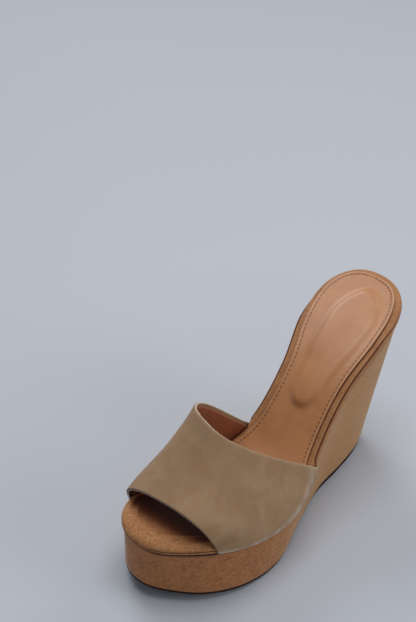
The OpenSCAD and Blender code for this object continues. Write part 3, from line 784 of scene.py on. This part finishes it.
def outsole():
    """Outsole with a bevelled lower edge, and the heel top piece cut from it."""
    mesh = Mesh()
    margin, gap, split = 4.0, 0.02, 0.05
    rows = []
    for inset, low, share in ((margin, 0.0, 0), (0.9, 0.0, 0), (0.6, 0.08, 0), (0.35, 0.35, 0),
                              (0.25, 0.8, 0), (0.2, 0, 1), (0.9, 0.0, 1), (margin, 0.0, 1)):
        p = grown(SOLE_LOOP, -inset)
        z = ground(p[:, 1]) + low + share * (sole_height(p[:, 1]) - gap)
        rows.append(np.c_[p, z])
    ids = [mesh.add(r, np.stack([r[:, 0], r[:, 1]], 1)) for r in rows]
    mesh.quads(np.array(ids), close=True)
    for k, lift in ((0, 0), (-1, 1)):
        ring = {"loop": grown(SOLE_LOOP, -margin), "ids": ids[k]}
        across(mesh, ring, 12, lambda x, y, lift=lift: (
            np.stack([x, y, ground(y) + lift * (sole_height(y) - gap)], -1),
            np.stack([x, y], -1)))
    obj = mesh.build("outsole_sheet", SOLE)
    rear = mesh.build("heel_top_piece", TOP_PIECE)
    cut(obj, (0, LIFT_FRONT - split, 0), (0, 1, 0))
    cut(rear, (0, LIFT_FRONT + split, 0), (0, -1, 0))
    ride(rear, "lift_rubber", "heel_lift")
    ride(obj, "sole_leather", "outsole")


# --------------------------------------------------------------------- vamp
def seam_point(t, side, out):
    """Point at share t of the footbed, out from its outline on side 0 or 1."""
    a = np.degrees(np.arccos(np.clip(1 - 2 * t, -1, 1)))
    v = BED_OUTER if side == 0 else BED_INNER
    x0, x1 = along(v, (a - 1) / 180), along(v, (a + 1) / 180)
    s0, s1 = BED_LENGTH * (1 - cosd(a - 1)) / 2, BED_LENGTH * (1 - cosd(a + 1)) / 2
    n = np.stack([s1 - s0, x0 - x1], -1)
    n = n / np.linalg.norm(n, axis=-1, keepdims=True) * (out if side == 0 else -out)
    return bed_point((x0 + x1) / 2 + n[..., 0], BED_LENGTH * t + n[..., 1], 0)


def arch(p, q, b, rise, bow, shift, power, lean, twist):
    """Curve over the foot from p to q, b from 0 to 1."""
    c, f = cosd(180 * b), np.maximum(sind(180 * b), 0)
    g = (1 - np.sign(c) * np.abs(c) ** power) / 2
    add = np.stack([shift * f, -bow * f ** 0.8 + twist * sind(360 * b),
                    rise * f ** 0.82 * (1 + lean * c)], -1)
    return p + (q - p) * g[..., None] + add


def mouth(b):
    """The strap's front edge."""
    return arch(seam_point(np.float64(VAMP_FRONT), 0, VAMP_OUT),
                seam_point(np.float64(VAMP_FRONT), 1, VAMP_OUT),
                b, MOUTH_RISE, bow=9, shift=-6, power=0.76, lean=0.25, twist=-1.3)


def throat(b):
    """The strap's rear edge."""
    return arch(seam_point(np.float64(VAMP_REAR), 0, VAMP_OUT),
                seam_point(np.float64(VAMP_REAR + INNER_SHIFT), 1, VAMP_OUT),
                b, THROAT_RISE, THROAT_BOW, shift=-26, power=0.78, lean=0.07, twist=-7.5)


def vamp_at(a, b):
    """Outer face, a from 0 at the mouth to 1 at the throat, b across."""
    a, b = np.broadcast_arrays(np.asarray(a, float), np.asarray(b, float))
    w0 = ((1 + cosd(180 * b)) / 2) ** 3
    w1 = ((1 - cosd(180 * b)) / 2) ** 4
    A = a[..., None]
    side0 = seam_point(VAMP_FRONT + (VAMP_REAR - VAMP_FRONT) * a, 0, VAMP_OUT)
    side1 = seam_point(VAMP_FRONT + (VAMP_REAR + INNER_SHIFT - VAMP_FRONT) * a, 1, VAMP_OUT)
    zero, one = np.zeros(1), np.ones(1)
    m, t = mouth(b), throat(b)
    return (m * (1 - A) + t * A
            + (side0 - mouth(zero)[0] * (1 - A) - throat(zero)[0] * A) * w0[..., None]
            + (side1 - mouth(one)[0] * (1 - A) - throat(one)[0] * A) * w1[..., None])


def vamp_width(b):
    """Width of the vamp from mouth to throat at b, in mm."""
    a = np.linspace(0, 1, 30)
    p = vamp_at(a[:, None], np.asarray(b)[None, :])
    return np.linalg.norm(np.diff(p, axis=0), axis=2).sum(0)


def vamp_normal(a, b):
    """Outward direction of the outer face."""
    e = 0.01
    u = vamp_at(np.minimum(a + e, 1), b) - vamp_at(np.maximum(a - e, 0), b)
    v = vamp_at(a, np.minimum(b + e, 1)) - vamp_at(a, np.maximum(b - e, 0))
    n = np.cross(u, v)
    return n / np.linalg.norm(n, axis=-1, keepdims=True)


EDGE_BAND = 6.0        # rows near both ends are placed by distance


def vamp_strip(name, material, section, columns, slot, node, fold, under):
    """Sweeps a closed section over the vamp. Each point of the section is
    (end, distance from that end in mm, depth in mm, wear): end 0 is the
    mouth and 1 the throat, and with end None the distance is a share of the
    way between points EDGE_BAND inside both ends. Below the seam the section
    goes on inwards."""
    even = np.linspace(0, 1, columns + 1)
    b = (1 - cosd(180 * even)) / 2 * 0.35 + even * 0.65
    width = vamp_width(b)
    mesh = Mesh()
    grid = []
    for end, far, depth, wear_and_shading in section:
        if end is None:
            a = (EDGE_BAND + far * (width - 2 * EDGE_BAND)) / width
        else:
            a = far / width if end == 0 else 1 - far / width
        inside = np.clip(a, 0, 1)
        normal = vamp_normal(inside, b)
        top = vamp_at(inside, b)
        # The lower fold: a little fuller just above the seam, worn along it.
        rise = np.minimum(b, 1 - b) * np.linalg.norm(np.diff(vamp_at(0.5, b), axis=0),
                                                     axis=1).sum()
        full = fold * np.exp(-((rise - 3.0) / 3.2) ** 2)
        points = top + normal * (full - depth)[:, None]
        rub = wear_and_shading + np.exp(-((rise - 0.6) / 1.7) ** 2) * (depth < 0.6)
        uv = np.stack([a * width, (b - 0.5) * 150], 1)
        parts = []
        for side in (0, 1):
            k = 0 if side == 0 else -1
            t = VAMP_FRONT + (VAMP_REAR + INNER_SHIFT * side - VAMP_FRONT) * np.clip(a[k], 0, 1)
            base = points[k]
            extra = []
            for drop, inward in under:
                x = seam_point(np.float64(t), side, -inward)
                q = bed_point(0, BED_LENGTH * t, drop) - bed_point(0, BED_LENGTH * t, 0)
                inner = x + q
                extra.append(inner if inward > 1 else base + (inner - seam_point(
                    np.float64(t), side, VAMP_OUT)))
            parts.append(np.array(extra).reshape(-1, 3))
        low = parts[0][::-1]
        row = np.concatenate([low, points, parts[1]])
        pad = len(low)
        row_uv = np.concatenate([np.repeat(uv[:1], pad, 0), uv, np.repeat(uv[-1:], pad, 0)])
        row_wear = np.concatenate([np.full(pad, 0.6), rub, np.full(pad, 0.6)])
        grid.append(mesh.add(row, row_uv, row_wear))
    grid = np.array(grid + [grid[0]])
    mesh.quads(grid)
    mesh.faces += [grid[:-1, 0].tolist(), grid[:-1, -1][::-1].tolist()]
    obj = mesh.build(name, material)
    ride(obj, slot, node)


def rounded_end(end, thick, inner, wear_and_shading=0.15):
    """Turned edge of the suede at one end: outer face, round, inner face."""
    points = [(end, 3.0, 0.0, 0.0), (end, thick * 0.9, 0.02, 0.1)]
    r = thick / 2
    for a in np.linspace(90, -90, 9)[1:-1]:
        # Above 0 the edge is rubbed pale; below 0 its underside and inner face get painted shade.
        shade = wear_and_shading * cosd(a) if wear_and_shading > 0 else wear_and_shading * (a < 50)
        points.append((end, r - r * cosd(a), r - r * sind(a), shade))
    points += [(end, thick * 0.9, thick, min(wear_and_shading, 0)), (end, inner, thick, min(wear_and_shading, 0))]
    return points


def vamp():
    """The suede strap and its lining."""
    # Suede: outer face, both turned edges and their turned-in margins.
    thick, turn = TURNED_EDGE, TURNED_MARGIN
    middle = [(None, k, 0.0, 0.0) for k in np.linspace(0, 1, 26)]
    back = [(None, k, 1.0, 0.0) for k in np.linspace(1, 0, 14)]
    # The mouth's turned edge gets painted shade on its underside.
    section = (rounded_end(0, thick, turn, -0.9)[::-1] + middle + rounded_end(1, thick, turn)
               + [(1, turn, 1.0, 0.0)] + back + [(0, turn, 1.0, 0.0)])
    vamp_strip("vamp_suede_strap", SUEDE, section, 170, "suede", "vamp_suede", 0.5,
               [(-0.45, 0.4), (-0.55, 4.0)])
    # Lining: its cut edges stand a little inside the mouth and the throat. At the mouth the cut
    # edge and the lining beside it carry painted shade; at the throat the cut edge is pale.
    edge = LINING_SHORT
    top, low = LINING_FACES
    inner = [(1, edge, top, 1.0), (1, edge - 0.05, 2.1, -0.1), (1, edge + 0.12, 2.42, -0.1),
             (1, edge + 0.5, low, 0.0)]
    inner += [(None, k, low, 0.0) for k in np.linspace(1, 0, 26)]
    inner += [(0, edge + 0.5, low, 0.5), (0, edge + 0.12, 2.42, 1.0),
              (0, edge - 0.05, 2.1, 1.0), (0, edge, top, 1.0)]
    inner += [(None, k, top, 0.0) for k in np.linspace(0, 1, 14)]
    vamp_strip("vamp_lining_sheet", LINING, inner, 130, "lining_leather", "vamp_lining", 0.2,
               [(-0.2, 0.4), (-0.2, 5.0)])


wedge_cover()
insole_wrap()
sock_lining()
stitching()
outsole()
vamp()

# Inner pieces keep their CAD shape and get their own finish: its name, dark and
# light colour, scale of the grain, roughness and metal.
INNER = {
    "lift_nails": ("nail_steel", (0.45, 0.44, 0.42), (0.62, 0.61, 0.59), 2.0, 0.35, 1.0),
    "wedge_core": ("cork_block", (0.36, 0.22, 0.12), (0.62, 0.44, 0.27), 0.5, 0.85, 0.0),
    "bottom_filler": ("cork_sheet", (0.28, 0.17, 0.09), (0.50, 0.34, 0.20), 0.8, 0.88, 0.0),
    "shank": ("spring_steel", (0.40, 0.41, 0.44), (0.58, 0.59, 0.62), 0.6, 0.32, 1.0),
    "shank_rivets": ("rivet_steel", (0.46, 0.43, 0.36), (0.66, 0.62, 0.52), 2.0, 0.36, 1.0),
    "wedge_screws": ("screw_steel", (0.40, 0.40, 0.42), (0.60, 0.60, 0.62), 2.0, 0.34, 1.0),
    "insole_board": ("fibre_board", (0.46, 0.34, 0.21), (0.64, 0.50, 0.34), 1.2, 0.9, 0.0),
    "heel_board": ("stiff_board", (0.36, 0.25, 0.15), (0.50, 0.37, 0.24), 1.2, 0.88, 0.0),
    "forepart_foam": ("fore_foam", (0.72, 0.66, 0.48), (0.86, 0.80, 0.64), 1.6, 0.95, 0.0),
    "heel_foam": ("rear_foam", (0.72, 0.66, 0.48), (0.86, 0.80, 0.64), 1.6, 0.95, 0.0),
    "vamp_interlining": ("woven_interlining", (0.62, 0.58, 0.50), (0.80, 0.77, 0.70), 3.0,
                         0.95, 0.0),
    "edge_tapes": ("woven_tape", (0.66, 0.62, 0.55), (0.84, 0.81, 0.75), 3.0, 0.95, 0.0),
}
for node, (name, dark, light, scale, rough, metal) in INNER.items():
    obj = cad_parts[node]
    material = plain(name, dark, light, scale, rough, metal)
    for slot in obj.material_slots:
        slot.material = material

# -------------------------------------------------------------------- stage
floor_nodes = Nodes("studio_floor")
tone = floor_nodes.noise(floor_nodes.place(), 0.004, 2.0, 0.5)
pale = floor_nodes.mix(tone, (0.455, 0.480, 0.530), (0.470, 0.495, 0.545))
# Painted light falloff: the floor darkens with distance from a point near the sandal.
reach = floor_nodes.node("VectorMath", {0: floor_nodes.place(), 1: (0, 50, 0)},
                         operation="DISTANCE").outputs["Value"]
far = floor_nodes.remap(reach, 250, 1300)
floor_nodes.finish(Base_Color=floor_nodes.mix(far, pale, (0.34, 0.365, 0.405)),
                   Roughness=0.85, Specular_IOR_Level=0.15)
floor_data = bpy.data.meshes.new("studio_floor")
FLOOR = 4.0  # half the floor's side, in metres
floor_data.from_pydata([(-FLOOR, -FLOOR, 0), (FLOOR, -FLOOR, 0), (FLOOR, FLOOR, 0),
                        (-FLOOR, FLOOR, 0)], [], [(0, 1, 2, 3)])
floor_data.materials.append(floor_nodes.material)
floor = bpy.data.objects.new("studio_floor", floor_data)
bpy.context.scene.collection.objects.link(floor)

world = bpy.data.worlds.new("studio")
bpy.context.scene.world = world
world.use_nodes = True
back = world.node_tree.nodes["Background"]
back.inputs["Color"].default_value = (0.93, 0.96, 1.0, 1)
back.inputs["Strength"].default_value = 0.27

LAMP_TARGET = (0, 0, 0.05)


def area(name, where, size, energy):
    """A round lamp that points at the sandal."""
    data = bpy.data.lights.new(name, "AREA")
    data.shape, data.size, data.energy = "DISK", size, energy
    obj = bpy.data.objects.new(name, data)
    obj.location = where
    obj.rotation_euler = (Vector(LAMP_TARGET) - Vector(where)).to_track_quat("-Z", "Y").to_euler()
    bpy.context.scene.collection.objects.link(obj)


area("overhead", (0.0, 0.1, 2.6), 1.8, 29)
area("window", (-1.6, 0.9, 1.5), 1.3, 18)
area("side", (1.8, 0.7, 1.0), 1.2, 11)
area("back", (0.2, 2.0, 1.6), 1.2, 8)

# ------------------------------------------------------------------- camera
# Angles in degrees, lengths in millimetres.
AZIMUTH, ELEVATION, ROLL = 38.04, 36.49, 0.45
DISTANCE = 783.1
TARGET = np.array([-70.0, 25.5, 106.3])
LENS = 69.8
back_way = np.array([sind(AZIMUTH) * cosd(ELEVATION), -cosd(AZIMUTH) * cosd(ELEVATION),
                     sind(ELEVATION)])
right = np.array([cosd(AZIMUTH), sind(AZIMUTH), 0])
up = np.cross(back_way, right)
right, up = right * cosd(ROLL) + up * sind(ROLL), up * cosd(ROLL) - right * sind(ROLL)
eye = (TARGET + back_way * DISTANCE) / 1000
lens = bpy.data.cameras.new("camera")
lens.lens, lens.sensor_width = LENS, 36
camera = bpy.data.objects.new("camera", lens)
camera.matrix_world = Matrix([[right[i], up[i], back_way[i], eye[i]] for i in range(3)]
                             + [[0, 0, 0, 1]])
bpy.context.scene.collection.objects.link(camera)
bpy.context.scene.camera = camera
bpy.context.scene.view_settings.view_transform = "Standard"
